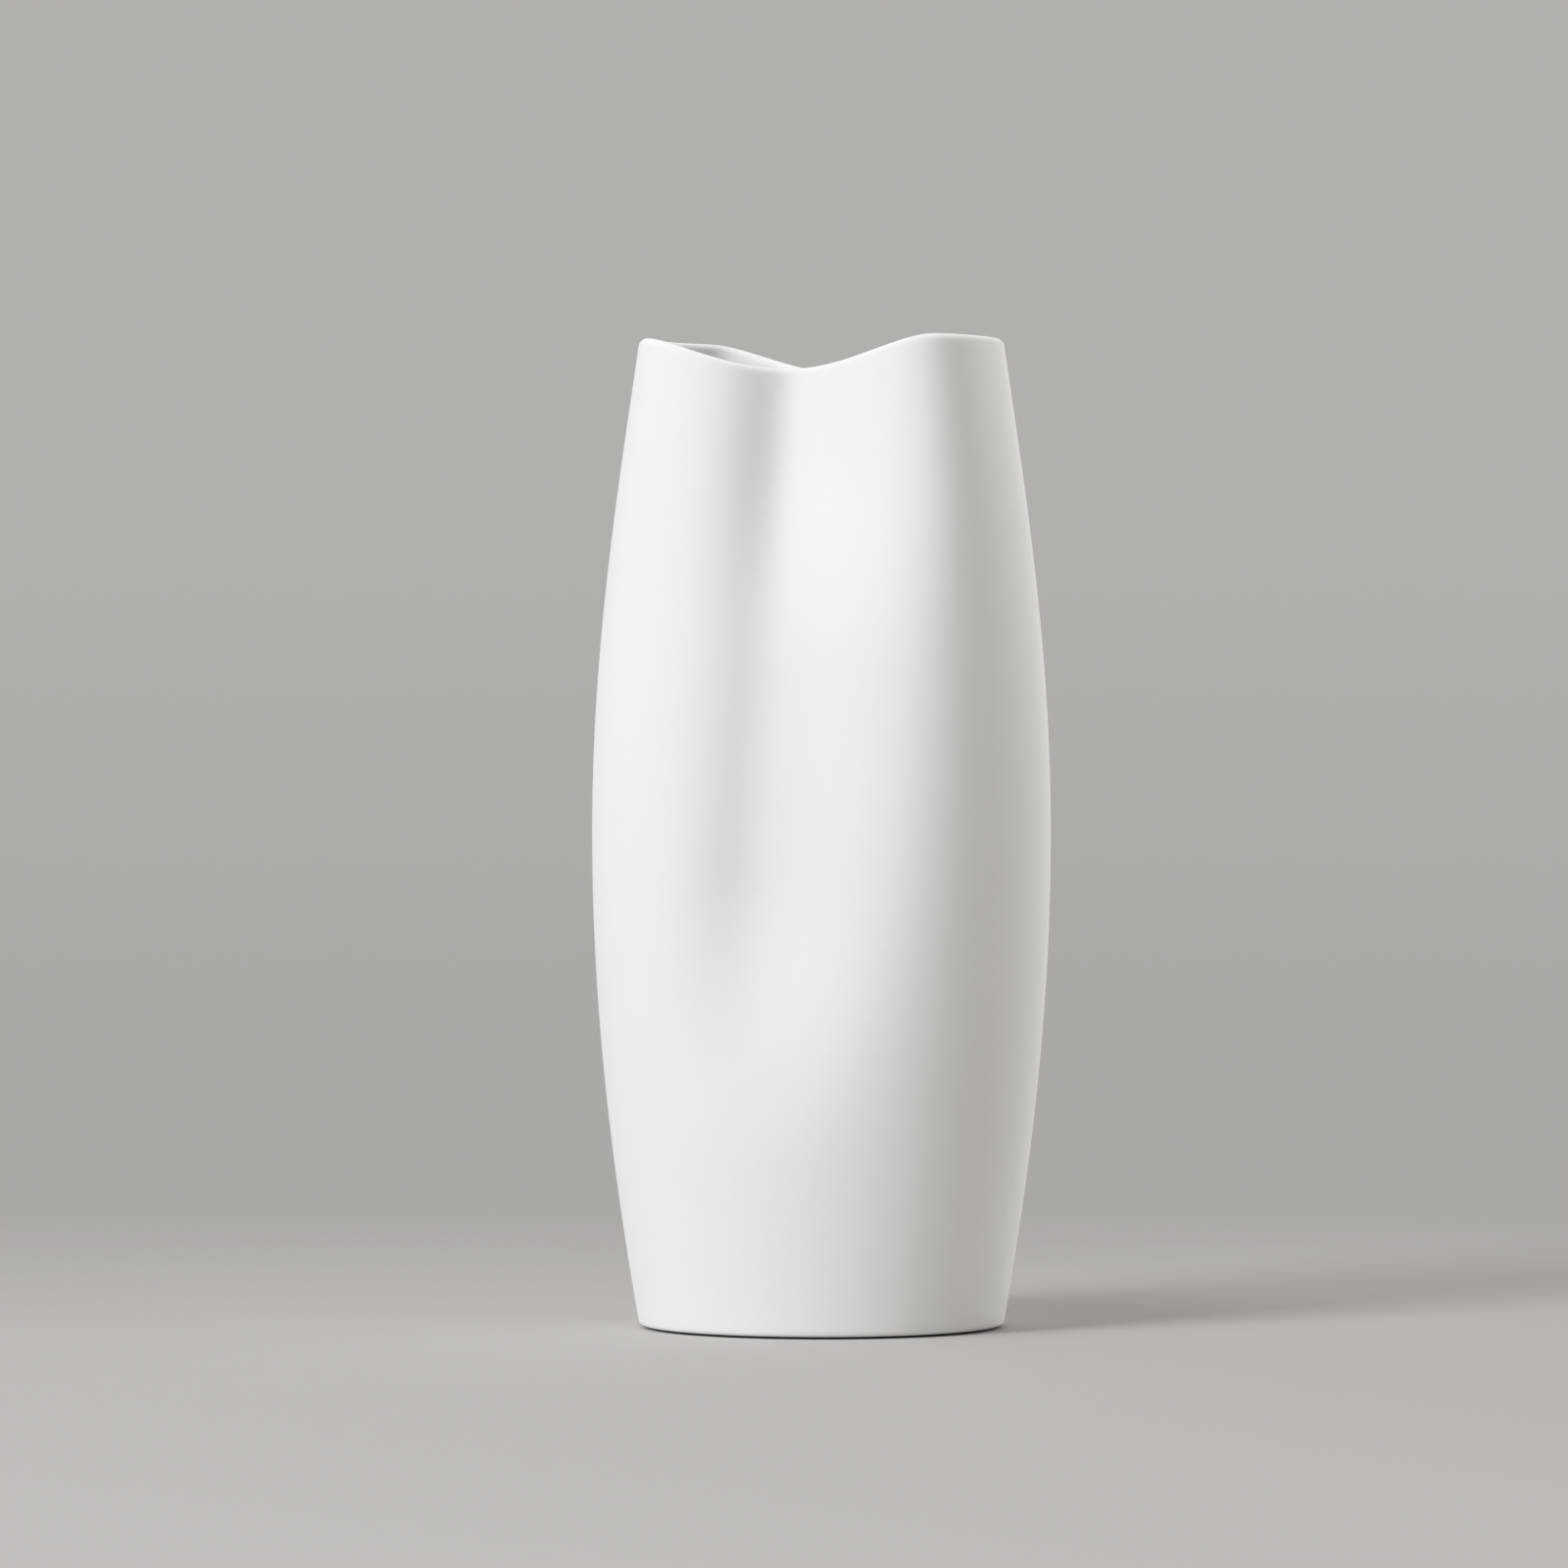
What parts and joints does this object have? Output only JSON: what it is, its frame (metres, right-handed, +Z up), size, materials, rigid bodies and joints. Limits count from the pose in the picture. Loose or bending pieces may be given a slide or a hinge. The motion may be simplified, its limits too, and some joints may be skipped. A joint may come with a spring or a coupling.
{
  "type": "pillow vase",
  "caption": "Tall white bisque porcelain vase, a soft barrel with a long groove pressed into front and back and a waved rim, for cut flowers or branches.",
  "frame": {"origin": "middle of the foot, on the surface that the vase stands on", "axes": "+Z up along the vase's axis, -Y out of the front that the picture shows, +X to the right in the picture"},
  "size_m": [0.13, 0.123, 0.28],
  "materials": {
    "bisque": "bare matt bisque",
    "glaze": "clear gloss glaze",
    "felt": "pressed felt",
    "adhesive": "cured film"
  },
  "bodies": {
    "root": {"vase_body": "bisque", "glaze_lining": "glaze", "felt_pad": "felt", "pad_adhesive": "adhesive"}
  },
  "joints": []
}
